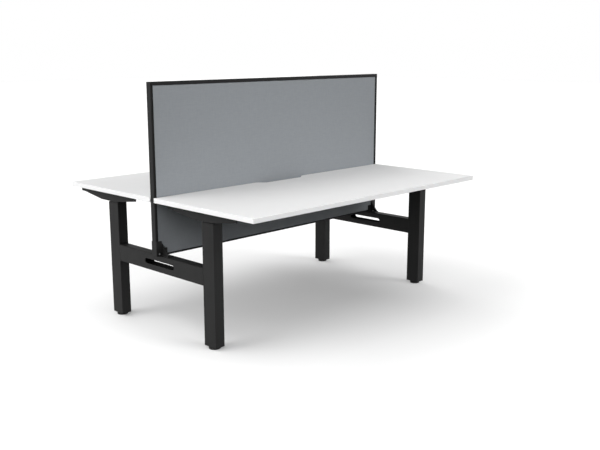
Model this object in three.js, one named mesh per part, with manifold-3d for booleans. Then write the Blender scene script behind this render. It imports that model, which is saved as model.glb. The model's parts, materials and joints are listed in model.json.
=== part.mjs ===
// A bench for two: two white sit-stand desks back to back, on black end frames that also carry
// one tall fabric screen between them. Millimetres, +Z up. The origin is on the floor under the
// middle of the bench. X runs along the desks, and the front desk is on the -Y side. Both desks
// are drawn at their lowest setting.
import * as THREE from "three";
import { mergeVertices } from "three/addons/utils/BufferGeometryUtils.js";
import Module from "manifold-3d";

const wasm = await Module();
wasm.setup();

// Clearances
const seatGap = 0.3; // between pieces that rest on, or against, each other
const slideGap = 0.3; // round a piece that slides or turns
const screenGap = 1; // from a desk top's rear edge to the screen
const columnGap = 2.5; // from a support arm down to the column, with the desk right down
const nutGap = 3.5; // from the lift nut out to the inner tube
const nutTubeGap = 3; // from the spindle out to the nut tube
const spindleGap = 31; // from the top of a foot's stem up to the end of the spindle
const innerTubeGap = 40; // from the column's base plate up to the inner tube
const motorInset = 1; // from the motor's body in to the gearbox's upper and lower faces

// Desk tops
const topLength = 1800;
const topDepth = 750;
const topThick = 25;
const topHeight = 725; // the upper face above the floor
const topRound = 1.5; // rounding of the edging
const scallopLength = 400; // cable scallop in the rear edge, at its mouth
const scallopFloor = 260; // its straight inner edge
const scallopDepth = 42;

// Support arms: an angle with a tapered web, under each end of a top
const armDepth = 50; // at the column, from the underside of the top
const armTipDepth = 24;
const armTipFlat = 29; // level stretch at the long tip
const armTipInset = 50; // from the long tip in to the edge of the rear top
const armShortReach = 213; // from the column's centre to the short tip
const armFlatLong = 113; // level stretch over the column, towards the long tip
const armFlatShort = 24; // and towards the short tip
const armWeb = 5;
const armFlange = 4;

// Rails that join the two arms of a desk
const railWidth = 40;
const railHeight = 30;
const railWall = 2;
const railOffset = 90; // from the columns' centre line

// Lift drive, from the lead screw outwards
const spindleRadius = 8;
const spindleTip = 2; // chamfer at its lower end
const spindleCollar = 2.5; // how far its thrust collar stands out
const collarHeight = 3;
const journalDepth = 12; // length held in the gearbox
const nutTubeWall = 3;
const nutStep = 3; // how far the nut stands out of its tube
const nutHeight = 30;
const nutDrop = 45; // from the column's top edge down to the nut
const innerTubeWall = 2.5;
const innerTubeRound = 3;
const innerFlange = 4; // plate on top of the inner tube
const innerFlangeLip = 4; // how far the plate stands out along Y
const bushWall = 2.4;
const bushHeight = 60;
const bushLip = 1.5;
const bushLipInset = 1; // from the lip in to the column's outer faces
const gearboxDepth = 70;
const gearboxRound = 6;
const motorLength = 105;
const motorCap = 8; // bearing cap on the motor's end
const motorCapRadius = 9;

// Columns
const columnDepth = 87; // along Y
const columnWall = 3;
const columnRound = 4;
const columnInset = 32; // from the end of a top to the column's outer face
const basePlate = 5;

// Levelling feet
const footRadius = 30;
const footPad = 11; // height of the round pad
const footRound = 2;
const footHeight = 14; // from the floor to the column
const footBoss = 12; // radius of the boss over the pad
const stemRadius = 5;
const stemLength = 30; // above the column's lower end

// End beams
const beamLength = 720; // between the two columns of an end
const beamWidth = 56;
const beamHeight = 92;
const beamWall = 3;
const beamRound = 4;
const beamBottom = 322;
const slotLength = 250; // cable slot through both walls
const slotHeight = 28;

// Screen
const screenInset = 4; // from the end of a top to the end of the screen
const screenHeight = 898;
const screenThick = 32;
const screenFace = 16; // seen width of the stiles
const screenCap = 18; // seen height of the top rail
const screenFoot = 10; // seen height of the bottom rail
const screenWeb = 3; // outer wall of the frame's channel
const panelThick = 24; // board wrapped in fabric

// Screen brackets
const bracketPlate = 4;
const bracketLength = 70; // along the screen, from its end
const bracketTall = 81; // height of the tab at the end of the screen
const bracketLow = 41; // height of the rest
const bracketTab = 34; // width of the tab at its top
const bracketTabFoot = 42; // and where it meets the rest
const bracketReach = 52; // how far the foot stands out of the plate
const bracketGusset = 66; // height of the gusset between the two

// Control box under each top
const boxLength = 260;
const boxWidth = 110;
const boxHeight = 36;
const boxRound = 5;
const boxEar = 18;
const boxEarThick = 4;
const boxShift = 310; // from the middle of the desk, to the user's left

// Handset under each front edge
const handsetLength = 120;
const handsetDepth = 48;
const handsetHeight = 20;
const handsetRound = 5;
const handsetShift = 500; // to the user's right
const handsetSetback = 100;
const buttonLength = 20;
const buttonHeight = 9;
const buttonRound = 3;
const buttonProud = 1.5;
const buttonDepth = 3.5; // inside the handset
const buttonTravel = 1.2;
const buttonPitch = 34;

// Places worked out from the sizes above
const underside = topHeight - topThick;
const topRear = screenThick / 2 + screenGap;
const topFront = topRear + topDepth;
const armTop = underside - seatGap;
const armBottom = underside - armDepth;
const flangeUnder = armTop - armFlange;
const nutTubeBore = spindleRadius + nutTubeGap;
const nutTubeRadius = nutTubeBore + nutTubeWall;
const nutRadius = nutTubeRadius + nutStep;
const innerTubeWidth = 2 * (nutRadius + nutGap + innerTubeWall);
const bushRing = slideGap + bushWall + seatGap;
const columnWidth = innerTubeWidth + 2 * (bushRing + columnWall);
const innerTubeDepth = columnDepth - 2 * (bushRing + columnWall);
const columnX = topLength / 2 - columnInset - columnWidth / 2;
const columnY = beamLength / 2 + columnDepth / 2;
const columnOuterX = columnX + columnWidth / 2;
const columnTop = armBottom - columnGap - bushLip - seatGap;
const plateTop = footHeight + basePlate;
const stemTop = footHeight + stemLength;
const innerTubeBottom = plateTop + innerTubeGap;
const innerTubeTop = armBottom + columnGap;
const gearboxBottom = innerTubeTop + innerFlange + seatGap;
const gearboxTop = flangeUnder - seatGap;
const armLongReach = topFront - armTipInset - columnY;
const webInnerX = columnOuterX - armWeb;
const beamTop = beamBottom + beamHeight;
const screenBottom = beamTop + seatGap;
const screenTop = screenBottom + screenHeight;
const screenEndX = topLength / 2 - screenInset;
const roundSides = 16;
const cutPast = 1; // how far a cutting tool runs past a face

// Finishes
const finish = (color, roughness, metalness) =>
  new THREE.MeshStandardMaterial({ color, roughness, metalness });
const whiteMelamine = () => finish(0xf2f2f2, 0.45, 0);
const blackPowderCoat = () => finish(0x2c2c2c, 0.55, 0);
const blackAnodised = () => finish(0x242424, 0.4, 0.6);
const greyFabric = () => finish(0x8a8e91, 0.95, 0);
const blackPlastic = () => finish(0x1d1d1d, 0.6, 0);
const greyPlastic = () => finish(0x6e7073, 0.5, 0);
const plainSteel = () => finish(0xa8a8a6, 0.35, 1);
const castAluminium = () => finish(0x8b8d8f, 0.5, 0.8);

// A closed geometry as a solid that can be joined and cut
function solidOf(geometry) {
  const bare = geometry.clone();
  bare.deleteAttribute("normal");
  bare.deleteAttribute("uv");
  const welded = mergeVertices(bare, 1e-4);
  const vertProperties = new Float32Array(welded.attributes.position.array);
  const triVerts = new Uint32Array(welded.index.array);
  return new wasm.Manifold(new wasm.Mesh({ numProp: 3, vertProperties, triVerts }));
}

function geometryOf(solid) {
  const mesh = solid.getMesh();
  const geometry = new THREE.BufferGeometry();
  geometry.setAttribute("position", new THREE.BufferAttribute(mesh.vertProperties, 3));
  geometry.setIndex(new THREE.BufferAttribute(mesh.triVerts, 1));
  geometry.computeVertexNormals();
  return geometry;
}

const join = (...geometries) => geometryOf(geometries.map(solidOf).reduce((a, b) => a.add(b)));

const cut = (geometry, ...tools) =>
  geometryOf(tools.map(solidOf).reduce((a, b) => a.subtract(b), solidOf(geometry)));

// Outlines
function rectangle(width, height, round = 0, x = 0, y = 0) {
  const right = x + width / 2;
  const top = y + height / 2;
  const left = x - width / 2;
  const bottom = y - height / 2;
  if (!round) return polygon([left, bottom], [right, bottom], [right, top], [left, top]);
  const quarter = Math.PI / 2;
  const shape = new THREE.Shape();
  shape.absarc(right - round, bottom + round, round, -quarter, 0);
  shape.absarc(right - round, top - round, round, 0, quarter);
  shape.absarc(left + round, top - round, round, quarter, 2 * quarter);
  shape.absarc(left + round, bottom + round, round, 2 * quarter, 3 * quarter);
  return shape;
}

const polygon = (...points) => new THREE.Shape(points.map(([x, y]) => new THREE.Vector2(x, y)));

function circle(radius) {
  const turn = (2 * Math.PI) / roundSides;
  const corner = (_, i) => [radius * Math.cos(i * turn), radius * Math.sin(i * turn)];
  return polygon(...Array.from({ length: roundSides }, corner));
}

// Extrusions: each outline is drawn in the two axes across its run
const extrude = (shape, depth, options) =>
  new THREE.ExtrudeGeometry(shape, { depth, bevelEnabled: false, curveSegments: 2, ...options });

const alongZ = (shape, bottom, top) => extrude(shape, top - bottom).translate(0, 0, bottom);

function alongX(shape, start, end) {
  const axes = new THREE.Matrix4().makeBasis(
    new THREE.Vector3(0, 1, 0),
    new THREE.Vector3(0, 0, 1),
    new THREE.Vector3(1, 0, 0),
  );
  return extrude(shape, end - start).applyMatrix4(axes).translate(start, 0, 0);
}

function alongY(shape, start, end) {
  const axes = new THREE.Matrix4().makeBasis(
    new THREE.Vector3(1, 0, 0),
    new THREE.Vector3(0, 0, 1),
    new THREE.Vector3(0, -1, 0),
  );
  return extrude(shape, end - start).applyMatrix4(axes).translate(0, end, 0);
}

// The same with an opening right through, drawn as a second outline
const hollow = (along, shape, opening, start, end) =>
  cut(along(shape, start, end), along(opening, start - cutPast, end + cutPast));

// A profile of [radius, height] points turned about Z
function turned(...points) {
  const profile = points.map(([radius, height]) => new THREE.Vector2(radius, height));
  return new THREE.LatheGeometry(profile, roundSides).rotateX(Math.PI / 2);
}

function piece(name, geometry, material) {
  const mesh = new THREE.Mesh(geometry, material);
  mesh.name = name;
  return mesh;
}

// Desk top: a board with rounded edging and a flared cable scallop in its rear edge
function desktop() {
  const side = topLength / 2;
  const mouth = scallopLength / 2;
  const floor = scallopFloor / 2;
  const flare = (mouth - floor) / 2;
  const rear = -topRear;
  const inner = rear - scallopDepth;
  const outline = new THREE.Shape();
  outline.moveTo(-side, -topFront);
  outline.lineTo(side, -topFront);
  outline.lineTo(side, rear);
  outline.lineTo(mouth, rear);
  outline.bezierCurveTo(mouth - flare, rear, floor + flare, inner, floor, inner);
  outline.lineTo(-floor, inner);
  outline.bezierCurveTo(-floor - flare, inner, -mouth + flare, rear, -mouth, rear);
  outline.lineTo(-side, rear);
  const edging = {
    bevelEnabled: true,
    bevelThickness: topRound,
    bevelSize: topRound,
    bevelOffset: -topRound,
    bevelSegments: 2,
    curveSegments: 10,
  };
  const board = extrude(outline, topThick - 2 * topRound, edging);
  return board.translate(0, 0, underside + topRound);
}

// Support arm at the +X end of a desk, drawn about the column's centre line. Its long tip points
// to longSide along Y.
function supportArm(longSide) {
  const tip = underside - armTipDepth;
  const along = (reach) => -columnY + longSide * reach;
  const outline = polygon(
    [along(-armShortReach), armTop],
    [along(-armShortReach), tip],
    [along(-armFlatShort), armBottom],
    [along(armFlatLong), armBottom],
    [along(armLongReach - armTipFlat), tip],
    [along(armLongReach), tip],
    [along(armLongReach), armTop],
  );
  const web = alongX(outline, webInnerX, columnOuterX);
  const length = armLongReach + armShortReach;
  const middle = along((armLongReach - armShortReach) / 2);
  const plan = rectangle(columnWidth, length, 0, columnX, middle);
  return join(web, alongZ(plan, flangeUnder, armTop));
}

function rail(offset) {
  const top = flangeUnder - seatGap;
  const middle = top - railHeight / 2;
  const end = webInnerX - seatGap;
  const section = (inset) => {
    const size = [railWidth - 2 * inset, railHeight - 2 * inset, railWall - inset];
    return rectangle(...size, -columnY + offset, middle);
  };
  return hollow(alongX, section(0), section(railWall), -end, end);
}

// Inner tube of a column, with the plate on top that bolts to the gearbox
function innerTube() {
  const tube = rectangle(innerTubeWidth, innerTubeDepth, innerTubeRound);
  const bore = rectangle(innerTubeWidth - 2 * innerTubeWall, innerTubeDepth - 2 * innerTubeWall);
  const plate = rectangle(innerTubeWidth, innerTubeDepth + 2 * innerFlangeLip, innerTubeRound);
  const hole = circle(spindleRadius + spindleCollar + nutTubeGap);
  return join(
    hollow(alongZ, tube, bore, innerTubeBottom, innerTubeTop),
    hollow(alongZ, plate, hole, innerTubeTop, innerTubeTop + innerFlange),
  );
}

// Gearbox on the inner tube with its motor lying inwards, towards -X
function gearMotor() {
  const height = gearboxTop - gearboxBottom;
  const middle = gearboxBottom + height / 2;
  const radius = height / 2 - motorInset;
  const block = alongZ(
    rectangle(innerTubeWidth, gearboxDepth, gearboxRound),
    gearboxBottom,
    gearboxTop,
  );
  const body = turned(
    [0, 0],
    [radius, 0],
    [radius, motorLength - motorCap],
    [motorCapRadius, motorLength - motorCap],
    [motorCapRadius, motorLength],
    [0, motorLength],
  );
  body.rotateY(-Math.PI / 2).translate(0, 0, middle);
  const bore = alongZ(
    circle(spindleRadius + slideGap),
    gearboxBottom - cutPast,
    gearboxBottom + journalDepth,
  );
  return cut(join(block, body), bore);
}

function spindle() {
  const bottom = stemTop + spindleGap;
  const collar = spindleRadius + spindleCollar;
  const collarTop = gearboxBottom - slideGap;
  const collarBottom = collarTop - collarHeight;
  return turned(
    [0, bottom],
    [spindleRadius - spindleTip, bottom],
    [spindleRadius, bottom + spindleTip],
    [spindleRadius, collarBottom],
    [collar, collarBottom],
    [collar, collarTop],
    [spindleRadius, collarTop],
    [spindleRadius, gearboxBottom + journalDepth - slideGap],
    [0, gearboxBottom + journalDepth - slideGap],
  );
}

// Tube that stands on the column's base plate and holds the lift nut at its upper end
function nutTube() {
  const bottom = plateTop + seatGap;
  const nutTop = columnTop - nutDrop;
  const nutBottom = nutTop - nutHeight;
  const thread = spindleRadius + slideGap;
  return turned(
    [nutTubeBore, bottom],
    [nutTubeRadius, bottom],
    [nutTubeRadius, nutBottom],
    [nutRadius, nutBottom],
    [nutRadius, nutTop],
    [thread, nutTop],
    [thread, nutBottom],
    [nutTubeBore, nutBottom],
    [nutTubeBore, bottom],
  );
}

// Outer tube of a column, closed below by a plate with the hole for the foot's stem
function column() {
  const width = columnWidth - 2 * columnWall;
  const depth = columnDepth - 2 * columnWall;
  const outside = rectangle(columnWidth, columnDepth, columnRound);
  const plate = rectangle(width + columnWall, depth + columnWall);
  const hole = circle(stemRadius + slideGap);
  return join(
    hollow(alongZ, outside, rectangle(width, depth), footHeight, columnTop),
    hollow(alongZ, plate, hole, footHeight, plateTop),
  );
}

// Plastic bush that guides the inner tube, with a lip on the column's upper edge
function guideBush() {
  const width = innerTubeWidth + 2 * slideGap;
  const depth = innerTubeDepth + 2 * slideGap;
  const bore = rectangle(width, depth, innerTubeRound);
  const sleeve = rectangle(width + 2 * bushWall, depth + 2 * bushWall);
  const lip = rectangle(columnWidth - 2 * bushLipInset, columnDepth - 2 * bushLipInset, columnRound);
  const rim = columnTop + seatGap;
  return join(
    hollow(alongZ, sleeve, bore, rim - bushHeight, rim),
    hollow(alongZ, lip, bore, rim, rim + bushLip),
  );
}

function levellingFoot() {
  const top = footHeight - seatGap;
  return turned(
    [0, 0],
    [footRadius - footRound, 0],
    [footRadius, footRound],
    [footRadius, footPad - footRound],
    [footRadius - footRound, footPad],
    [footBoss, footPad],
    [footBoss, top],
    [stemRadius, top],
    [stemRadius, stemTop],
    [0, stemTop],
  );
}

// Hollow beam between the two columns of the +X end, flush with their outer faces
function endBeam() {
  const x = columnOuterX - beamWidth / 2;
  const z = beamBottom + beamHeight / 2;
  const section = rectangle(beamWidth, beamHeight, beamRound, x, z);
  const inside = rectangle(beamWidth - 2 * beamWall, beamHeight - 2 * beamWall, 0, x, z);
  const end = beamLength / 2 - seatGap;
  const slot = rectangle(slotLength, slotHeight, slotHeight / 2, 0, z);
  const through = alongX(slot, columnOuterX - beamWidth - cutPast, columnOuterX + cutPast);
  return cut(hollow(alongY, section, inside, -end, end), through);
}

// Screen frame: four mitred channels round the panel
function screenMember(...corners) {
  const half = screenThick / 2;
  const groove = panelThick / 2 + seatGap;
  const middle = (screenBottom + screenTop) / 2;
  const span = rectangle(2 * (screenEndX - screenWeb), screenHeight - 2 * screenWeb, 0, 0, middle);
  return cut(alongY(polygon(...corners), -half, half), alongY(span, -groove, groove));
}

function screenRail(outer, inner) {
  const inside = screenEndX - screenFace;
  const corners = [
    [-screenEndX, outer],
    [screenEndX, outer],
    [inside, inner],
    [-inside, inner],
  ];
  return screenMember(...(outer < inner ? corners : corners.reverse()));
}

function screenStile() {
  const inside = screenEndX - screenFace;
  return screenMember(
    [inside, screenBottom + screenFoot + seatGap],
    [screenEndX, screenBottom + seatGap],
    [screenEndX, screenTop - seatGap],
    [inside, screenTop - screenCap - seatGap],
  );
}

function screenPanel() {
  const margin = screenWeb + seatGap;
  const middle = (screenBottom + screenTop) / 2;
  const face = rectangle(2 * (screenEndX - margin), screenHeight - 2 * margin, 0, 0, middle);
  return alongY(face, -panelThick / 2, panelThick / 2);
}

// Bracket that bolts the +X end of the screen to the beam, on the -Y side of the screen: an
// upright plate with a tall tab, a foot on the beam and a gusset
function screenBracket() {
  const face = -screenThick / 2 - seatGap;
  const front = face - bracketPlate;
  const toe = front - bracketReach;
  const base = beamTop + seatGap;
  const footTop = base + bracketPlate;
  const outer = columnOuterX - beamRound;
  const inner = screenEndX - bracketLength;
  const tabFoot = screenEndX - bracketTabFoot;
  const upright = polygon(
    [inner, base],
    [screenEndX, base],
    [screenEndX, base + bracketTall],
    [screenEndX - bracketTab, base + bracketTall],
    [tabFoot, base + bracketLow],
    [inner, base + bracketLow],
  );
  const foot = rectangle(outer - inner, face - toe, 0, (outer + inner) / 2, (face + toe) / 2);
  const gusset = polygon([face, base], [face, base + bracketGusset], [toe, footTop], [toe, base]);
  return join(
    alongY(upright, front, face),
    alongZ(foot, base, footTop),
    alongX(gusset, tabFoot, tabFoot + bracketPlate),
  );
}

// Control box screwed to the underside of a top by two ears
function controlBox() {
  const top = underside - seatGap;
  const body = rectangle(boxLength, boxWidth, boxRound, -boxShift, -columnY);
  const ears = rectangle(boxLength + 2 * boxEar, boxWidth / 2, boxRound, -boxShift, -columnY);
  return join(alongZ(body, top - boxHeight, top), alongZ(ears, top - boxEarThick, top));
}

// Handset with two pockets in its front face for the buttons
const handsetFront = -topFront + handsetSetback;
const handsetTop = underside - seatGap;
const buttonZ = handsetTop - handsetHeight / 2;
const buttonX = (side) => handsetShift + (side * buttonPitch) / 2;

function handset() {
  const y = handsetFront + handsetDepth / 2;
  const plan = rectangle(handsetLength, handsetDepth, handsetRound, handsetShift, y);
  const body = alongZ(plan, handsetTop - handsetHeight, handsetTop);
  const gap = 2 * slideGap;
  const back = handsetFront + buttonDepth + buttonTravel + slideGap;
  const pockets = [-1, 1].map((side) => {
    const mouth = [buttonLength + gap, buttonHeight + gap, buttonRound + slideGap];
    return alongY(rectangle(...mouth, buttonX(side), buttonZ), handsetFront - buttonProud, back);
  });
  return cut(body, ...pockets);
}

function button(side) {
  const face = rectangle(buttonLength, buttonHeight, buttonRound, buttonX(side), buttonZ);
  return alongY(face, handsetFront - buttonProud, handsetFront + buttonDepth);
}

// One desk with all that rises with it, drawn as the front desk. Under a half turn its +X end
// becomes the left one, so the two ends are named by the caller.
function desk(name, plusEnd, minusEnd, armLongSide) {
  const group = new THREE.Group();
  group.add(piece(`${name}_top`, desktop(), whiteMelamine()));
  group.add(piece(`${name}_inner_rail`, rail(railOffset), blackPowderCoat()));
  group.add(piece(`${name}_outer_rail`, rail(-railOffset), blackPowderCoat()));
  group.add(piece(`${name}_control_box`, controlBox(), blackPlastic()));
  group.add(piece(`${name}_handset`, handset(), blackPlastic()));
  group.add(piece(`${name}_down_button`, button(-1), greyPlastic()));
  group.add(piece(`${name}_up_button`, button(1), greyPlastic()));
  for (const [end, side] of [
    [plusEnd, 1],
    [minusEnd, -1],
  ]) {
    const arm = piece(`${name}_${end}_arm`, supportArm(armLongSide), blackPowderCoat());
    arm.scale.x = side;
    const lift = new THREE.Group();
    lift.position.set(side * columnX, -columnY, 0);
    lift.scale.x = side;
    lift.add(piece(`${name}_${end}_inner_tube`, innerTube(), blackPowderCoat()));
    lift.add(piece(`${name}_${end}_gear_motor`, gearMotor(), castAluminium()));
    lift.add(piece(`${name}_${end}_spindle`, spindle(), plainSteel()));
    group.add(arm, lift);
  }
  return group;
}

// The standing frame: columns with their feet and lift nuts, the end beams and the screen
function standingFrame() {
  const group = new THREE.Group();
  for (const [end, side] of [
    ["left", -1],
    ["right", 1],
  ]) {
    const beam = piece(`${end}_end_beam`, endBeam(), blackPowderCoat());
    const stile = piece(`screen_${end}_stile`, screenStile(), blackAnodised());
    beam.scale.x = side;
    stile.scale.x = side;
    group.add(beam, stile);
    for (const [row, way] of [
      ["front", -1],
      ["rear", 1],
    ]) {
      const corner = new THREE.Group();
      corner.position.set(side * columnX, way * columnY, 0);
      corner.add(piece(`${row}_${end}_column`, column(), blackPowderCoat()));
      corner.add(piece(`${row}_${end}_guide_bush`, guideBush(), blackPlastic()));
      corner.add(piece(`${row}_${end}_nut_tube`, nutTube(), plainSteel()));
      corner.add(piece(`${row}_${end}_foot`, levellingFoot(), blackPlastic()));
      const bracket = piece(`${row}_${end}_screen_bracket`, screenBracket(), blackPowderCoat());
      bracket.scale.set(side, -way, 1);
      group.add(corner, bracket);
    }
  }
  const topRail = screenRail(screenTop, screenTop - screenCap);
  const bottomRail = screenRail(screenBottom, screenBottom + screenFoot);
  group.add(piece("screen_top_rail", topRail, blackAnodised()));
  group.add(piece("screen_bottom_rail", bottomRail, blackAnodised()));
  group.add(piece("screen_panel", screenPanel(), greyFabric()));
  return group;
}

const bench = new THREE.Group();
const frontDesk = desk("front", "right", "left", 1);
const rearDesk = desk("rear", "left", "right", -1);
rearDesk.scale.set(-1, -1, 1); // an exact half turn about Z
bench.add(standingFrame(), frontDesk, rearDesk);

export default bench;
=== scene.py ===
"""Looks of a bench for two: two white sit-stand desks back to back, on black end frames that also
carry one tall grey fabric screen. Metres, +Z up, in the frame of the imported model."""
import json
import math

import bpy
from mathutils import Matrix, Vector

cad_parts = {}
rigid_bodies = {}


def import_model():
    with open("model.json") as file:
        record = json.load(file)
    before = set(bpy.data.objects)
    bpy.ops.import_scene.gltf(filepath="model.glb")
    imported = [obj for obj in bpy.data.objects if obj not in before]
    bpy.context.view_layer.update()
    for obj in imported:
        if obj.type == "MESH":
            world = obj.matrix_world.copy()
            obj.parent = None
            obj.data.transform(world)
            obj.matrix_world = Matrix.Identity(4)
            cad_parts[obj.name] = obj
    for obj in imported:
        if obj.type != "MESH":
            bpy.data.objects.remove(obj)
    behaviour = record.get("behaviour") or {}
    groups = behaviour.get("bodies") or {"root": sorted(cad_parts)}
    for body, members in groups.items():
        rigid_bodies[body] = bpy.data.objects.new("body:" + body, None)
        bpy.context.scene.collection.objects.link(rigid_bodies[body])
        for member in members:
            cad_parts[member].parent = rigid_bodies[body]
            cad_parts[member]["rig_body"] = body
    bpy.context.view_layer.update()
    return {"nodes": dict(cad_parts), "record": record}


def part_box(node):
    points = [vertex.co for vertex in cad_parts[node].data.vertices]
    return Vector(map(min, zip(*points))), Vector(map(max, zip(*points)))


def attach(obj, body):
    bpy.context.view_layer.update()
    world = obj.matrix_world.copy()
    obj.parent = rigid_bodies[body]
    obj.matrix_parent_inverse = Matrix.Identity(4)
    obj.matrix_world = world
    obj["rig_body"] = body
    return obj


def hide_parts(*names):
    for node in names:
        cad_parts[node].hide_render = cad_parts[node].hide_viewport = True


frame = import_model()

MM = 0.001
ROWS = {"front": -1, "rear": 1}  # the desks, and the side of the screen they are on, along Y
ENDS = {"left": -1, "right": 1}  # the ends of the bench, along X
SLOT_OF = {part["node"]: part["material_slot"] for part in frame["record"]["subparts"]}

# Camera of the photograph, solved from the straight edges of the desks
CAMERA_PLACE = (-3.3943, -3.4762, 1.4802)
CAMERA_YAW = 45.908  # degrees from +Y towards +X
CAMERA_PITCH = 12.03  # degrees down
CAMERA_LENS = 50.0  # millimetres
CAMERA_SENSOR = 36.0  # millimetres across

# Light: a dim white dome with soft boxes in it. Each is (degrees round from +X, degrees up,
# degrees from its middle out to where it ends, and to where it starts to fade, strength).
DOME_LEVEL = 0.21
SOFT_BOXES = {
    "behind": (90, 40, 30, 8, 2.25),
    "behind_right": (50, 45, 30, 8, 0.64),
    "behind_left": (150, 40, 30, 8, 3.77),
    "left": (180, 15, 35, 8, 2.07),
    "front_left": (-135, 35, 26, 6, 2.62),
    "front": (-75, 28, 26, 6, 4.46),
}
FLOOR_SIZE = 60
FLOOR_SEEN = 0.73  # how white the floor is to the eye
FLOOR_BOUNCE = 0.08  # and to the light that it throws back up
FLOOR_PAINTED_GLOW = 0.28  # painted light for the eye only, so that the floor runs into a white background; it is left out under the desks, which paints a darker shadow there
PAINTED_SHADOW_MIDDLE = (-0.1, 0.01, 0)  # middle of the place under the desks that is left without that painted light, a painted shadow
PAINTED_SHADOW_HALF = (0.445, 0.265, 0)  # half the size of that painted shadow
PAINTED_SHADOW_FADE = 0.785  # how far outside that place the painted light is full; the painted shadow fades out over it

# Rounded edges
EDGE_ROUND = 0.8 * MM  # sheet metal and tube
COLUMN_SOLID_ROUND = 4 * MM  # corners of a column's solid
COLUMN_ROUND = 1.5 * MM  # and its corners as seen
EXTRUSION_ROUND = 0.5 * MM  # bars of the screen's frame
MOULDED_ROUND = 1.2 * MM  # moulded and cast housings
BUTTON_ROUND = 0.5 * MM
PLATE_ROUND = 0.6 * MM  # feet, brackets and the screen's board
SLIDE_ROUND = 0.4 * MM  # inner tubes and their bushes
DRIVE_ROUND = 0.3 * MM  # nut tubes and spindles
ARROW_ROUND = 0.15 * MM
EDGE_STEPS = 2  # facets across a rounded edge
FINE_STEPS = 3  # and across a wider one

# Desk tops
EDGING_THICK = 2 * MM
SEAM = 0.3 * MM
SEAM_DEPTH = 0.15 * MM

# Screen
FRAME_FACE = 16 * MM  # seen width of the stiles
FRAME_CAP = 18 * MM  # seen height of the top rail
FRAME_FOOT = 10 * MM  # and of the bottom rail
GROOVE_EDGE = 2.5 * MM  # from a stile's edge to its accessory groove
GROOVE_DEPTH = 3 * MM
GROOVE_SLOPE = 0.2 * MM  # how far its walls lean in
CLOTH_THICK = 0.6 * MM
CLOTH_LIFT = 0.05 * MM  # under the cloth's edge, above the board
CLOTH_GAP = 0.2 * MM  # from the cloth's edge to the frame
CLOTH_RIM = ((0.6 * MM, 0.5 * MM), (1.2 * MM, 0.4 * MM), (2.2 * MM, 0.2 * MM))  # steps in and up
CLOTH_CUTS = 24  # each way across the cloth

# Control boxes and buttons
SOCKET = (14 * MM, 18 * MM, 10 * MM)  # cable sockets, of which half is inside the box
SOCKET_COUNT = 4
SOCKET_PITCH = 30 * MM
VENT = (3 * MM, 64 * MM, 3 * MM)  # cooling slots, likewise
VENT_COUNT = 13
VENT_PITCH = 9 * MM
ARROW_RADIUS = 2.6 * MM
ARROW_PROUD = 0.3 * MM

# Bolts and screws: radius and height of the head, and radius of its socket
BOLT = (5 * MM, 3.4 * MM, 2 * MM)
SCREW = (4 * MM, 2.4 * MM, 1.6 * MM)
SMALL_SCREW = (2.8 * MM, 1.8 * MM, 1.2 * MM)
HEAD_SIDES = 20
HEAD_CROWN = 0.62  # share of a head's height that is rounded
BRACKET_PLATE = 4 * MM  # thickness of a screen bracket
PLATE_BOLT = (19 * MM, 14 * MM)  # in from the screen's end, and up from the beam
FOOT_BOLT = (56 * MM, 26 * MM)  # in from the screen's end, and out from the bracket's plate
ARM_FLANGE = 4 * MM  # thickness of an arm's upper plate
ARM_SCREW_SHIFT = 8 * MM  # from the plate's middle, away from the arm's web
ARM_SCREW_TIP = 30 * MM  # from either tip to the nearest screw
ARM_SCREW_MIDDLE = 120 * MM  # from the long tip to the middle screw
MOTOR_CAP = 8 * MM  # length of the bearing cap on a motor's end
MOTOR_SCREW_RING = 13.5 * MM
MOTOR_SCREW_TURNS = (90, 210, 330)  # degrees round the cap
BOX_EAR = 4 * MM  # thickness of a control box's ears
EAR_SCREW_EDGE = 9 * MM  # from the end of an ear
EAR_SCREW_SIDE = 15 * MM  # from the middle of an ear

# What counts as the same, and as straight
SAME_POINT = 0.01 * MM  # points this close are one
ON_FACE = 0.1 * MM  # a point this close to a face or an arc is on it
ALONG = 0.99  # a direction with this much of an axis runs along it
ON_SIDE = 0.5  # a face whose normal has less of Z than this is on a side
FLAT_ANGLE = math.radians(0.5)  # triangles that turn by less make one flat
ROUND_FROM = math.radians(40)  # edges sharper than this are rounded
SMOOTH_TO = math.radians(50)  # edges blunter than this are shaded smooth
FLATS_FIRST = 100  # weight of the wider faces in that shading, the highest there is


def linear(hex_colour):
    """An sRGB hex colour as linear red, green, blue and alpha."""
    channels = [int(hex_colour[i : i + 2], 16) / 255 for i in (1, 3, 5)]
    return [c / 12.92 if c <= 0.04045 else ((c + 0.055) / 1.055) ** 2.4 for c in channels] + [1.0]


def per(size_mm):
    """Scale of a noise texture whose features are this many millimetres across."""
    return 1000 / size_mm


def bands(period_mm):
    """Scale of a wave texture whose bands repeat after this many millimetres. At a scale of 1 they
    repeat after pi / 10 metres."""
    return math.pi / 10 * 1000 / period_mm


def wire(tree, node, inputs):
    """Sets a node's sockets, by name or number, to a value or to the socket that feeds them."""
    for socket, value in inputs.items():
        if isinstance(value, bpy.types.NodeSocket):
            tree.links.new(value, node.inputs[socket])
        else:
            node.inputs[socket].default_value = value


def add(tree, kind, inputs=None, **settings):
    """Adds a node with its settings and links."""
    node = tree.nodes.new(kind)
    for setting, value in settings.items():
        setattr(node, setting, value)
    wire(tree, node, inputs or {})
    return node


def new_material(name):
    """A new material, with its node tree, its shader and the place on the piece."""
    material = bpy.data.materials.new(name)
    material.use_nodes = True
    tree = material.node_tree
    place = add(tree, "ShaderNodeTexCoord").outputs["Object"]
    return material, tree, tree.nodes["Principled BSDF"], place


MIX_A, MIX_B, MIX_RESULT = 6, 7, 2  # colour sockets of a Mix node


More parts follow.
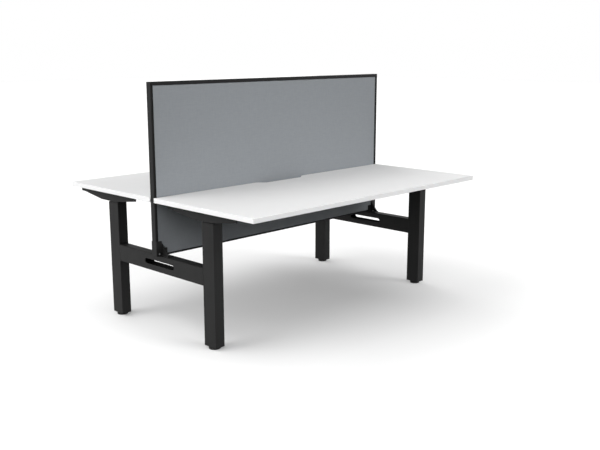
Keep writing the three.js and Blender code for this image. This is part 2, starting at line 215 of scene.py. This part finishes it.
def white_melamine():
    """Chipboard faced with melamine paper under a pearl-grain press plate: matt, almost even white,
    with a fine pebble."""
    material, tree, shader, place = new_material("white_melamine")
    cloud = add(tree, "ShaderNodeTexNoise", {"Vector": place, "Scale": per(120), "Detail": 3.0})
    colour = add(
        tree,
        "ShaderNodeMix",
        {"Factor": cloud.outputs["Fac"], MIX_A: linear("#d9d9d9"), MIX_B: linear("#dddddd")},
        data_type="RGBA",
    )
    # The real pebble is about 0.5 mm; it is drawn at 2.5 mm so that it shows.
    pebble = add(tree, "ShaderNodeTexNoise", {"Vector": place, "Scale": per(2.5), "Detail": 2.0})
    polish = add(
        tree,
        "ShaderNodeMapRange",
        {"Value": pebble.outputs["Fac"], "To Min": 0.42, "To Max": 0.56},
    )
    bump = add(
        tree,
        "ShaderNodeBump",
        {"Height": pebble.outputs["Fac"], "Strength": 0.12, "Distance": 0.1 * MM},
    )
    wire(
        tree,
        shader,
        {
            "Base Color": colour.outputs[MIX_RESULT],
            "Roughness": polish.outputs["Result"],
            "Normal": bump.outputs["Normal"],
            "IOR": 1.5,
            "Specular IOR Level": 0.0,
        },
    )
    return material


def white_edging():
    """ABS edge band, glued on and scraped flush: a little smoother than the board, with faint lines
    along its length from the scraper."""
    material, tree, shader, place = new_material("white_abs_edging")
    stretch = add(tree, "ShaderNodeMapping", {"Vector": place, "Scale": (0.02, 0.02, 1.0)})
    lines = add(
        tree,
        "ShaderNodeTexNoise",
        {"Vector": stretch.outputs["Vector"], "Scale": per(1.2), "Detail": 2.0},
    )
    colour = add(
        tree,
        "ShaderNodeMix",
        {"Factor": lines.outputs["Fac"], MIX_A: linear("#fafafa"), MIX_B: linear("#fdfdfd")},
        data_type="RGBA",
    )
    bump = add(
        tree,
        "ShaderNodeBump",
        {"Height": lines.outputs["Fac"], "Strength": 0.1, "Distance": 0.1 * MM},
    )
    wire(
        tree,
        shader,
        {
            "Base Color": colour.outputs[MIX_RESULT],
            "Roughness": 0.45,
            "Normal": bump.outputs["Normal"],
            "IOR": 1.52,
            "Specular IOR Level": 0.05,
        },
    )
    return material


def black_powder_coat():
    """Polyester powder baked onto steel: satin black with a fine orange-peel texture that breaks up
    highlights, and slightly uneven gloss."""
    material, tree, shader, place = new_material("black_powder_coat")
    # The real texture is about 0.4 mm; it is drawn at 1.8 mm so that it shows.
    peel = add(tree, "ShaderNodeTexNoise", {"Vector": place, "Scale": per(1.8), "Detail": 3.0})
    cloud = add(tree, "ShaderNodeTexNoise", {"Vector": place, "Scale": per(90), "Detail": 2.0})
    colour = add(
        tree,
        "ShaderNodeMix",
        {"Factor": peel.outputs["Fac"], MIX_A: linear("#171717"), MIX_B: linear("#1f1f1f")},
        data_type="RGBA",
    )
    polish = add(
        tree,
        "ShaderNodeMapRange",
        {"Value": cloud.outputs["Fac"], "To Min": 0.5, "To Max": 0.62},
    )
    bump = add(
        tree,
        "ShaderNodeBump",
        {"Height": peel.outputs["Fac"], "Strength": 0.25, "Distance": 0.15 * MM},
    )
    wire(
        tree,
        shader,
        {
            "Base Color": colour.outputs[MIX_RESULT],
            "Roughness": polish.outputs["Result"],
            "Normal": bump.outputs["Normal"],
            "IOR": 1.5,
            "Specular IOR Level": 0.2,
        },
    )
    return material


def black_anodised(run, stretch):
    """Extruded aluminium, etched and anodised black: a dark metal with a satin sheen and fine die
    lines along the bar's run."""
    material, tree, shader, place = new_material("black_anodised_aluminium_" + run)
    # Die lines are about 0.2 mm apart; they are drawn at 1 mm so that they show.
    across = add(tree, "ShaderNodeMapping", {"Vector": place, "Scale": stretch})
    lines = add(
        tree,
        "ShaderNodeTexNoise",
        {"Vector": across.outputs["Vector"], "Scale": per(1.0), "Detail": 2.0},
    )
    colour = add(
        tree,
        "ShaderNodeMix",
        {"Factor": lines.outputs["Fac"], MIX_A: linear("#161616"), MIX_B: linear("#1e1e1f")},
        data_type="RGBA",
    )
    bump = add(
        tree,
        "ShaderNodeBump",
        {"Height": lines.outputs["Fac"], "Strength": 0.12, "Distance": 0.1 * MM},
    )
    wire(
        tree,
        shader,
        {
            "Base Color": colour.outputs[MIX_RESULT],
            "Metallic": 0.3,
            "Roughness": 0.45,
            "Normal": bump.outputs["Normal"],
            "Specular IOR Level": 0.2,
        },
    )
    return material


def grey_cloth():
    """Plain-woven polyester upholstery cloth in two close greys: matt, with a small even weave,
    slubs along both yarns and a soft edge sheen."""
    material, tree, shader, place = new_material("grey_woven_polyester")
    # The real yarns are about 0.8 mm apart; the weave is drawn at 4 mm so that it shows.
    weft, warp = (
        add(
            tree,
            "ShaderNodeTexWave",
            {"Vector": place, "Scale": bands(4), "Distortion": 0.4, "Detail": 1.0},
            bands_direction=axis,
        )
        for axis in ("Z", "X")
    )
    weave = add(
        tree,
        "ShaderNodeMath",
        {0: weft.outputs["Fac"], 1: warp.outputs["Fac"]},
        operation="MULTIPLY",
    )
    yarns = []
    for stretch in ((0.12, 1.0, 1.0), (1.0, 1.0, 0.12)):  # slubs along the weft and the warp
        along = add(tree, "ShaderNodeMapping", {"Vector": place, "Scale": stretch})
        slubs = add(
            tree,
            "ShaderNodeTexNoise",
            {"Vector": along.outputs["Vector"], "Scale": per(5), "Detail": 3.0},
        )
        yarns.append(slubs.outputs["Fac"])
    yarn = add(tree, "ShaderNodeMath", {0: yarns[0], 1: yarns[1]}, operation="ADD")
    tone = add(
        tree,
        "ShaderNodeMapRange",
        {"Value": yarn.outputs["Value"], "From Min": 0.6, "From Max": 1.4},
    )
    colour = add(
        tree,
        "ShaderNodeMix",
        {"Factor": tone.outputs["Result"], MIX_A: linear("#8d9195"), MIX_B: linear("#94989c")},
        data_type="RGBA",
    )
    bump = add(
        tree,
        "ShaderNodeBump",
        {"Height": weave.outputs["Value"], "Strength": 0.35, "Distance": 0.4 * MM},
    )
    wire(
        tree,
        shader,
        {
            "Base Color": colour.outputs[MIX_RESULT],
            "Roughness": 0.92,
            "Normal": bump.outputs["Normal"],
            "Specular IOR Level": 0.15,
            "Sheen Weight": 0.12,
            "Sheen Roughness": 0.5,
        },
    )
    return material


def moulded_plastic(name, dark, pale, roughness):
    """Injection-moulded nylon or ABS from a spark-eroded mould: matt, with an even fine grain."""
    material, tree, shader, place = new_material(name)
    # The real grain is about 0.3 mm; it is drawn at 1.5 mm so that it shows.
    grain = add(
        tree,
        "ShaderNodeTexVoronoi",
        {"Vector": place, "Scale": per(1.5)},
        feature="SMOOTH_F1",
    )
    colour = add(
        tree,
        "ShaderNodeMix",
        {"Factor": grain.outputs["Distance"], MIX_A: linear(dark), MIX_B: linear(pale)},
        data_type="RGBA",
    )
    bump = add(
        tree,
        "ShaderNodeBump",
        {"Height": grain.outputs["Distance"], "Strength": 0.2, "Distance": 0.15 * MM},
    )
    wire(
        tree,
        shader,
        {
            "Base Color": colour.outputs[MIX_RESULT],
            "Roughness": roughness,
            "Normal": bump.outputs["Normal"],
            "IOR": 1.5,
            "Specular IOR Level": 0.35,
        },
    )
    return material


def turned_steel():
    """Bright drawn steel, turned in a lathe: rings round the bar that stretch highlights."""
    material, tree, shader, place = new_material("turned_steel")
    # Tool marks are about 0.1 mm apart; they are drawn at 1 mm so that they show.
    rings = add(
        tree,
        "ShaderNodeTexWave",
        {"Vector": place, "Scale": bands(1), "Distortion": 0.8, "Detail": 2.0},
        bands_direction="Z",
    )
    polish = add(
        tree,
        "ShaderNodeMapRange",
        {"Value": rings.outputs["Fac"], "To Min": 0.28, "To Max": 0.4},
    )
    bump = add(
        tree,
        "ShaderNodeBump",
        {"Height": rings.outputs["Fac"], "Strength": 0.1, "Distance": 0.1 * MM},
    )
    wire(
        tree,
        shader,
        {
            "Base Color": linear("#b4b4b1"),
            "Metallic": 1.0,
            "Roughness": polish.outputs["Result"],
            "Normal": bump.outputs["Normal"],
        },
    )
    return material


def zinc_plate():
    """Cold-headed steel bolts, zinc plated: grey metal with a slightly cloudy gloss."""
    material, tree, shader, place = new_material("zinc_plated_steel")
    cloud = add(tree, "ShaderNodeTexNoise", {"Vector": place, "Scale": per(3), "Detail": 3.0})
    colour = add(
        tree,
        "ShaderNodeMix",
        {"Factor": cloud.outputs["Fac"], MIX_A: linear("#8c8c8e"), MIX_B: linear("#a2a2a4")},
        data_type="RGBA",
    )
    polish = add(
        tree,
        "ShaderNodeMapRange",
        {"Value": cloud.outputs["Fac"], "To Min": 0.25, "To Max": 0.4},
    )
    wire(
        tree,
        shader,
        {
            "Base Color": colour.outputs[MIX_RESULT],
            "Metallic": 1.0,
            "Roughness": polish.outputs["Result"],
        },
    )
    return material


def cast_aluminium():
    """Die-cast aluminium, shot-blasted: grey metal with a dull, faintly pitted skin."""
    material, tree, shader, place = new_material("cast_aluminium")
    pits = add(tree, "ShaderNodeTexNoise", {"Vector": place, "Scale": per(2), "Detail": 4.0})
    polish = add(
        tree,
        "ShaderNodeMapRange",
        {"Value": pits.outputs["Fac"], "To Min": 0.42, "To Max": 0.62},
    )
    bump = add(
        tree,
        "ShaderNodeBump",
        {"Height": pits.outputs["Fac"], "Strength": 0.3, "Distance": 0.2 * MM},
    )
    wire(
        tree,
        shader,
        {
            "Base Color": linear("#9b9d9f"),
            "Metallic": 1.0,
            "Roughness": polish.outputs["Result"],
            "Normal": bump.outputs["Normal"],
        },
    )
    return material


# The finish of each material slot
FINISHES = {
    "melamine": white_melamine(),
    "powder_coat": black_powder_coat(),
    "anodised": black_anodised("level", (0.02, 1.0, 1.0)),
    "fabric": grey_cloth(),
    "black_plastic": moulded_plastic("black_nylon", "#111111", "#1b1b1b", 0.6),
    "grey_plastic": moulded_plastic("grey_abs", "#67696c", "#76787b", 0.5),
    "steel": turned_steel(),
    "cast_aluminium": cast_aluminium(),
}
EDGING = white_edging()
UPRIGHT_ANODISED = black_anodised("upright", (1.0, 1.0, 0.02))
BOLT_STEEL = zinc_plate()


def new_object(name, data):
    """A new object in the scene."""
    thing = bpy.data.objects.new(name, data)
    bpy.context.scene.collection.objects.link(thing)
    return thing


def deselect():
    """Leaves nothing selected."""
    bpy.ops.object.select_all(action="DESELECT")


def only(piece):
    """Makes a piece the one that is selected and active."""
    deselect()
    piece.select_set(True)
    bpy.context.view_layer.objects.active = piece


def edit_all(piece):
    """Leaves a piece in edit mode with all of it selected."""
    only(piece)
    bpy.ops.object.mode_set(mode="EDIT")
    bpy.ops.mesh.select_all(action="SELECT")


def pick(piece, wanted, kind="FACE"):
    """Leaves a piece in edit mode with the faces or edges selected that wanted() accepts, by their
    middle and their normal or run."""
    only(piece)
    bpy.ops.object.mode_set(mode="EDIT")
    bpy.ops.mesh.select_mode(type=kind)
    bpy.ops.mesh.select_all(action="DESELECT")
    bpy.ops.object.mode_set(mode="OBJECT")
    mesh = piece.data
    if kind == "FACE":
        for face in mesh.polygons:
            face.select = wanted(face.center, face.normal)
    else:
        for edge in mesh.edges:
            start, end = (mesh.vertices[i].co for i in edge.vertices)
            edge.select = wanted((start + end) / 2, (end - start).normalized())
    bpy.ops.object.mode_set(mode="EDIT")


def leave_edit():
    """Goes back from edit mode to object mode."""
    bpy.ops.object.mode_set(mode="OBJECT")


def apply(piece, kind, **settings):
    """Adds a modifier and applies it."""
    only(piece)
    modifier = piece.modifiers.new(kind.lower(), kind)
    for setting, value in settings.items():
        setattr(modifier, setting, value)
    bpy.ops.object.modifier_apply(modifier=modifier.name)


def cut(piece, tool):
    """Cuts the shape of a tool out of a piece, and removes the tool."""
    apply(piece, "BOOLEAN", object=tool, operation="DIFFERENCE", solver="EXACT")
    bpy.data.objects.remove(tool)


def join(pieces):
    """Joins pieces into one."""
    only(pieces[0])
    for piece in pieces:
        piece.select_set(True)
    bpy.ops.object.join()
    return bpy.context.object


def soften(piece, width, segments=EDGE_STEPS):
    """Rounds a piece's sharp edges, takes out edges of no length and shades it smooth, with the flats
    kept flat."""
    if width:
        apply(
            piece,
            "BEVEL",
            width=width,
            segments=segments,
            limit_method="ANGLE",
            angle_limit=ROUND_FROM,
        )
    edit_all(piece)
    bpy.ops.mesh.dissolve_degenerate(threshold=SAME_POINT)
    leave_edit()
    bpy.ops.object.shade_smooth_by_angle(angle=SMOOTH_TO)
    apply(piece, "WEIGHTED_NORMAL", keep_sharp=True, weight=FLATS_FIRST)


def settle(piece, body, slot, *materials):
    """Gives a finished piece its materials, by default the finish of its material slot, and its body.
    """
    piece.data.materials.clear()
    for material in materials or [FINISHES[slot]]:
        piece.data.materials.append(material)
    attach(piece, body)


def join_doubles(piece):
    """Joins the points of a piece that lie on each other, and the triangles of each flat."""
    edit_all(piece)
    bpy.ops.mesh.remove_doubles(threshold=SAME_POINT)
    bpy.ops.mesh.dissolve_limited(angle_limit=FLAT_ANGLE)
    leave_edit()


def merged_copy(node):
    """A copy of a CAD node as one skin, with the triangles of each flat joined to one face."""
    piece = new_object(node + "_" + SLOT_OF[node], frame["nodes"][node].data.copy())
    join_doubles(piece)
    return piece


def stand_for(node, piece, *materials):
    """Makes a piece stand for a node: on the node's body, with the finish of the node's slot unless
    other materials are given, and with the node hidden.
    """
    settle(piece, frame["nodes"][node]["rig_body"], SLOT_OF[node], *materials)
    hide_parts(node)


def softened(node, width, segments=EDGE_STEPS):
    """A node's own shape with its edges rounded."""
    piece = merged_copy(node)
    soften(piece, width, segments)
    stand_for(node, piece)


def tight_column(node):
    """A column's tube, with the corners of its outer wall drawn out tighter than in the solid."""
    piece = merged_copy(node)
    low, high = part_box(node)
    centre, half = (low + high) / 2, (high - low) / 2
    for vertex in piece.data.vertices:
        out = vertex.co - centre
        past_x = abs(out.x) - half.x + COLUMN_SOLID_ROUND
        past_y = abs(out.y) - half.y + COLUMN_SOLID_ROUND
        on_arc = math.hypot(past_x, past_y) > COLUMN_SOLID_ROUND - ON_FACE
        if on_arc and min(past_x, past_y) > -ON_FACE:
            vertex.co.x = centre.x + math.copysign(half.x, out.x)
            vertex.co.y = centre.y + math.copysign(half.y, out.y)
    join_doubles(piece)

    def outer_corner(middle, run):
        out = middle - centre
        at_corner = abs(out.x) > half.x - ON_FACE and abs(out.y) > half.y - ON_FACE
        return at_corner and abs(run.z) > ALONG

    pick(piece, outer_corner, "EDGE")
    bpy.ops.mesh.bevel(offset=COLUMN_ROUND, segments=FINE_STEPS)
    leave_edit()
    soften(piece, EDGE_ROUND)
    stand_for(node, piece)


def grooved_stile(node):
    """An upright of the screen's frame, with an accessory groove down its front and rear faces."""
    piece = merged_copy(node)
    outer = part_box(node)[1].y - ON_FACE
    pick(piece, lambda middle, normal: abs(normal.y) > ALONG and abs(middle.y) > outer)
    bpy.ops.mesh.inset(thickness=GROOVE_EDGE, depth=0)
    bpy.ops.mesh.inset(thickness=GROOVE_SLOPE, depth=-GROOVE_DEPTH)
    leave_edit()
    soften(piece, EXTRUSION_ROUND)
    stand_for(node, piece, UPRIGHT_ANODISED)


def spread(count, pitch):
    """Places in a row, as distances from its middle."""
    return [(i - (count - 1) / 2) * pitch for i in range(count)]


def cut_pockets(piece, places, size):
    """Cuts a pocket of one size into a piece at each place, which is the pocket's middle."""
    tools = []
    for place in places:
        deselect()
        bpy.ops.mesh.primitive_cube_add(size=1, location=place)
        tool = bpy.context.object
        tool.scale = size
        bpy.ops.object.transform_apply(location=True, scale=True)
        tools.append(tool)
    cut(piece, join(tools))


def control_box(row, side):
    """A control box with its cable sockets on the side towards the screen and cooling slots
    underneath."""
    node = row + "_control_box"
    piece = merged_copy(node)
    soften(piece, MOULDED_ROUND, FINE_STEPS)
    low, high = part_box(node)
    middle = (low + high) / 2
    inner = high.y if side < 0 else low.y
    sockets = [(middle.x + x, inner, middle.z) for x in spread(SOCKET_COUNT, SOCKET_PITCH)]
    cut_pockets(piece, sockets, SOCKET)
    vents = [(middle.x + x, middle.y, low.z) for x in spread(VENT_COUNT, VENT_PITCH)]
    cut_pockets(piece, vents, VENT)
    soften(piece, 0)
    stand_for(node, piece)


def arrow(node, side, tilt):
    """A raised triangle on a button's face, which points up at a tilt of 1 and down at -1."""
    low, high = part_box(node)
    middle = (low + high) / 2
    middle.y = low.y if side < 0 else high.y
    deselect()
    bpy.ops.mesh.primitive_cylinder_add(
        vertices=3,
        radius=ARROW_RADIUS,
        depth=2 * ARROW_PROUD,
        location=middle,
        rotation=(tilt * math.radians(90), 0, 0),
    )
    piece = bpy.context.object
    piece.name = node + "_arrow"
    bpy.ops.object.transform_apply(location=True, rotation=True)
    soften(piece, ARROW_ROUND)
    settle(piece, node, "black_plastic")


def desk_top(node):
    """A desk top: a board with edging on its sides, which a fine seam sets off from both faces."""
    piece = merged_copy(node)
    stand_for(node, piece, FINISHES["melamine"], EDGING)
    pick(piece, lambda middle, normal: abs(normal.z) < ON_SIDE)
    piece.active_material_index = 1
    bpy.ops.object.material_slot_assign()
    leave_edit()
    pick(piece, lambda middle, normal: abs(normal.z) > ALONG)
    bpy.ops.mesh.inset(thickness=EDGING_THICK, depth=0)
    for depth in (-SEAM_DEPTH, SEAM_DEPTH):
        bpy.ops.mesh.inset(thickness=SEAM, depth=depth)
    leave_edit()
    soften(piece, 0)


def screen_cloth(row, side):
    """The cloth on one side of the screen's board, stretched flat, with a rounded edge where it
    dips in beside the frame."""
    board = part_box("screen_panel")[1]
    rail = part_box("screen_top_rail")[1]
    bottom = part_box("screen_bottom_rail")[0].z + FRAME_FOOT + CLOTH_GAP
    top = rail.z - FRAME_CAP - CLOTH_GAP
    half = rail.x - FRAME_FACE - CLOTH_GAP
    face = side * (board.y + CLOTH_LIFT + CLOTH_THICK)
    deselect()
    bpy.ops.mesh.primitive_plane_add(size=1, location=(0, face, (bottom + top) / 2))
    piece = bpy.context.object
    piece.name = row + "_screen_cloth"
    piece.scale = (2 * half, top - bottom, 1)
    piece.rotation_euler = (-side * math.radians(90), 0, 0)
    bpy.ops.object.transform_apply(location=True, rotation=True, scale=True)
    edit_all(piece)
    for width, rise in CLOTH_RIM:
        bpy.ops.mesh.inset(thickness=width, depth=rise)
    bpy.ops.mesh.subdivide(number_cuts=CLOTH_CUTS)
    leave_edit()
    apply(piece, "SOLIDIFY", thickness=CLOTH_THICK, offset=-1.0)
    soften(piece, 0)
    settle(piece, "frame", "fabric")


def bolt_head(radius, height, socket):
    """A button-head bolt with a hexagon socket, seen from +Z, standing on the origin."""
    deselect()
    bpy.ops.mesh.primitive_cylinder_add(
        vertices=HEAD_SIDES, radius=radius, depth=height, location=(0, 0, height / 2)
    )
    head = bpy.context.object
    bpy.ops.object.transform_apply(location=True)
    pick(head, lambda middle, run: middle.z > height - ON_FACE, "EDGE")
    bpy.ops.mesh.bevel(offset=HEAD_CROWN * height, segments=FINE_STEPS)
    leave_edit()
    deselect()
    bpy.ops.mesh.primitive_cylinder_add(
        vertices=6, radius=socket, depth=height, location=(0, 0, height)
    )
    cut(head, bpy.context.object)
    soften(head, 0)
    return head


def fasteners(name, body, head, places):
    """Copies of a bolt head, one at each (point, direction), as one piece."""
    copies = []
    for point, facing in places:
        copy = new_object(name, head.data.copy())
        copy.location = point
        copy.rotation_euler = Vector(facing).to_track_quat("Z", "Y").to_euler()
        copies.append(copy)
    piece = join(copies)
    bpy.ops.object.transform_apply(location=True, rotation=True, scale=True)
    settle(piece, body, "steel", BOLT_STEEL)


def bracket_places(node, side, way):
    """Where a screen bracket is bolted: through its plate to the screen, and down to the beam."""
    low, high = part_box(node)
    outer = way * max(abs(low.x), abs(high.x))
    plate = side * (min(abs(low.y), abs(high.y)) + BRACKET_PLATE)
    in_plate, up = PLATE_BOLT
    in_foot, out = FOOT_BOLT
    return [
        ((outer - way * in_plate, plate, low.z + up), (0, side, 0)),
        ((outer - way * in_foot, plate + side * out, low.z + BRACKET_PLATE), (0, 0, 1)),
    ]


def arm_places(node, way):
    """Where a support arm is screwed to the desk top, from below."""
    low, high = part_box(node)
    x = (low.x + high.x) / 2 - way * ARM_SCREW_SHIFT
    ys = (low.y + ARM_SCREW_TIP, high.y - ARM_SCREW_MIDDLE, high.y - ARM_SCREW_TIP)
    return [((x, y, high.z - ARM_FLANGE), (0, 0, -1)) for y in ys]


def motor_places(node, way):
    """Where a motor's end is screwed on, round its bearing cap."""
    low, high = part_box(node)
    middle = (low + high) / 2
    middle.x = way * (min(abs(low.x), abs(high.x)) + MOTOR_CAP)
    places = []
    for turn in MOTOR_SCREW_TURNS:
        across = Vector((0, math.cos(math.radians(turn)), math.sin(math.radians(turn))))
        places.append((middle + MOTOR_SCREW_RING * across, (-way, 0, 0)))
    return places


def ear_places(node):
    """Where a control box's ears are screwed to the desk top, from below."""
    low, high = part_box(node)
    middle = (low.y + high.y) / 2
    xs = (low.x + EAR_SCREW_EDGE, high.x - EAR_SCREW_EDGE)
    ys = (middle - EAR_SCREW_SIDE, middle + EAR_SCREW_SIDE)
    return [((x, y, high.z - BOX_EAR), (0, 0, -1)) for x in xs for y in ys]


def seen_directly(tree):
    """1 for rays from the camera, or from it by way of gloss or glass, and otherwise 0."""
    path = add(tree, "ShaderNodeLightPath").outputs
    seen = path["Is Camera Ray"]
    for ray in ("Is Glossy Ray", "Is Transmission Ray"):
        either = add(tree, "ShaderNodeMath", {0: seen, 1: path[ray]}, operation="MAXIMUM")
        seen = either.outputs["Value"]
    return seen


def soft_studio():
    """A white dome with soft boxes in it, shown as plain white behind the object."""
    world = bpy.data.worlds.new("soft_studio")
    bpy.context.scene.world = world
    world.use_nodes = True
    tree = world.node_tree
    direction = add(tree, "ShaderNodeTexCoord").outputs["Generated"]
    level = DOME_LEVEL
    for round_x, up, end, fade, strength in SOFT_BOXES.values():
        turn, rise = math.radians(round_x), math.radians(up)
        flat = math.cos(rise)
        middle = (flat * math.cos(turn), flat * math.sin(turn), math.sin(rise))
        towards = add(
            tree, "ShaderNodeVectorMath", {0: direction, 1: middle}, operation="DOT_PRODUCT"
        )
        box = add(
            tree,
            "ShaderNodeMapRange",
            {
                "Value": towards.outputs["Value"],
                "From Min": math.cos(math.radians(end)),
                "From Max": math.cos(math.radians(fade)),
                "To Max": strength,
            },
            interpolation_type="SMOOTHSTEP",
        )
        total = add(tree, "ShaderNodeMath", {0: box.outputs["Result"], 1: level}, operation="ADD")
        level = total.outputs["Value"]
    shown = add(
        tree, "ShaderNodeMapRange", {"Value": seen_directly(tree), "To Min": level, "To Max": 1.0}
    )
    wire(
        tree,
        tree.nodes["Background"],
        {"Color": linear("#ffffff"), "Strength": shown.outputs["Result"]},
    )


def white_floor():
    """A floor that runs into the white background and keeps the object's shadow. Painted light for
    the eye is added everywhere but under the desks, which paints a darker shadow pool there.
    """
    deselect()
    bpy.ops.mesh.primitive_plane_add(size=FLOOR_SIZE)
    floor = bpy.context.object
    floor.name = "floor"
    material = bpy.data.materials.new("white_floor")
    material.use_nodes = True
    tree = material.node_tree
    tree.nodes.remove(tree.nodes["Principled BSDF"])
    seen = seen_directly(tree)
    grey = add(
        tree,
        "ShaderNodeMapRange",
        {"Value": seen, "To Min": FLOOR_BOUNCE, "To Max": FLOOR_SEEN},
    )
    paint = add(tree, "ShaderNodeBsdfDiffuse", {"Color": grey.outputs["Result"]})
    away = add(tree, "ShaderNodeTexCoord").outputs["Object"]
    # Painted shadow: the floor's painted light is left out in a box under the desks and fades in
    # outside it
    for step, amount in (
        ("SUBTRACT", PAINTED_SHADOW_MIDDLE),
        ("ABSOLUTE", (0, 0, 0)),
        ("SUBTRACT", PAINTED_SHADOW_HALF),
        ("MAXIMUM", (0, 0, 0)),
    ):
        node = add(tree, "ShaderNodeVectorMath", {0: away, 1: amount}, operation=step)
        away = node.outputs["Vector"]
    distance = add(tree, "ShaderNodeVectorMath", {0: away}, operation="LENGTH")
    fade = add(
        tree,
        "ShaderNodeMapRange",
        {"Value": distance.outputs["Value"], "From Max": PAINTED_SHADOW_FADE, "To Max": FLOOR_PAINTED_GLOW},
        interpolation_type="SMOOTHSTEP",
    )
    level = add(tree, "ShaderNodeMath", {0: seen, 1: fade.outputs["Result"]}, operation="MULTIPLY")
    painted_glow = add(tree, "ShaderNodeEmission", {"Strength": level.outputs["Value"]})
    both = add(
        tree, "ShaderNodeAddShader", {0: paint.outputs["BSDF"], 1: painted_glow.outputs["Emission"]}
    )
    wire(tree, tree.nodes["Material Output"], {"Surface": both.outputs["Shader"]})
    floor.data.materials.append(material)


# Camera
camera = new_object("camera", bpy.data.cameras.new("camera"))
camera.location = CAMERA_PLACE
camera.rotation_euler = (math.radians(90 - CAMERA_PITCH), 0, math.radians(-CAMERA_YAW))
camera.data.sensor_width = CAMERA_SENSOR
camera.data.lens = CAMERA_LENS
bpy.context.scene.camera = camera
bpy.context.scene.view_settings.view_transform = "Standard"

# Desks
for row, side in ROWS.items():
    desk_top(row + "_top")
    for rail in ("inner_rail", "outer_rail"):
        softened(f"{row}_{rail}", EDGE_ROUND)
    control_box(row, side)
    softened(row + "_handset", MOULDED_ROUND, FINE_STEPS)
    for button, tilt in (("up_button", 1), ("down_button", -1)):
        softened(f"{row}_{button}", BUTTON_ROUND, FINE_STEPS)
        arrow(f"{row}_{button}", side, tilt)
    for end in ENDS:
        softened(f"{row}_{end}_arm", EDGE_ROUND)
        softened(f"{row}_{end}_inner_tube", SLIDE_ROUND)
        softened(f"{row}_{end}_gear_motor", MOULDED_ROUND, FINE_STEPS)

# End frames
for end in ENDS:
    softened(f"{end}_end_beam", EDGE_ROUND)
    for row in ROWS:
        tight_column(f"{row}_{end}_column")
        softened(f"{row}_{end}_foot", PLATE_ROUND)
        softened(f"{row}_{end}_guide_bush", SLIDE_ROUND)
        softened(f"{row}_{end}_screen_bracket", PLATE_ROUND)
        for inside in ("nut_tube", "spindle"):
            softened(f"{row}_{end}_{inside}", DRIVE_ROUND)

# Screen
softened("screen_panel", PLATE_ROUND)
for bar in ("top_rail", "bottom_rail"):
    softened("screen_" + bar, EXTRUSION_ROUND)
for end in ENDS:
    grooved_stile(f"screen_{end}_stile")
for row, side in ROWS.items():
    screen_cloth(row, side)

# Bolts and screws
heads = [bolt_head(*size) for size in (BOLT, SCREW, SMALL_SCREW)]
bolt, screw, small_screw = heads
for row, side in ROWS.items():
    desk = row + "_desk"
    for end, way in ENDS.items():
        corner = f"{row}_{end}"
        places = bracket_places(corner + "_screen_bracket", side, way)
        fasteners(corner + "_bracket_bolts", "frame", bolt, places)
        fasteners(corner + "_arm_screws", desk, screw, arm_places(corner + "_arm", way))
        places = motor_places(corner + "_gear_motor", way)
        fasteners(corner + "_motor_screws", desk, small_screw, places)
    fasteners(row + "_control_box_screws", desk, screw, ear_places(row + "_control_box"))
for head in heads:
    bpy.data.objects.remove(head)

soft_studio()
white_floor()
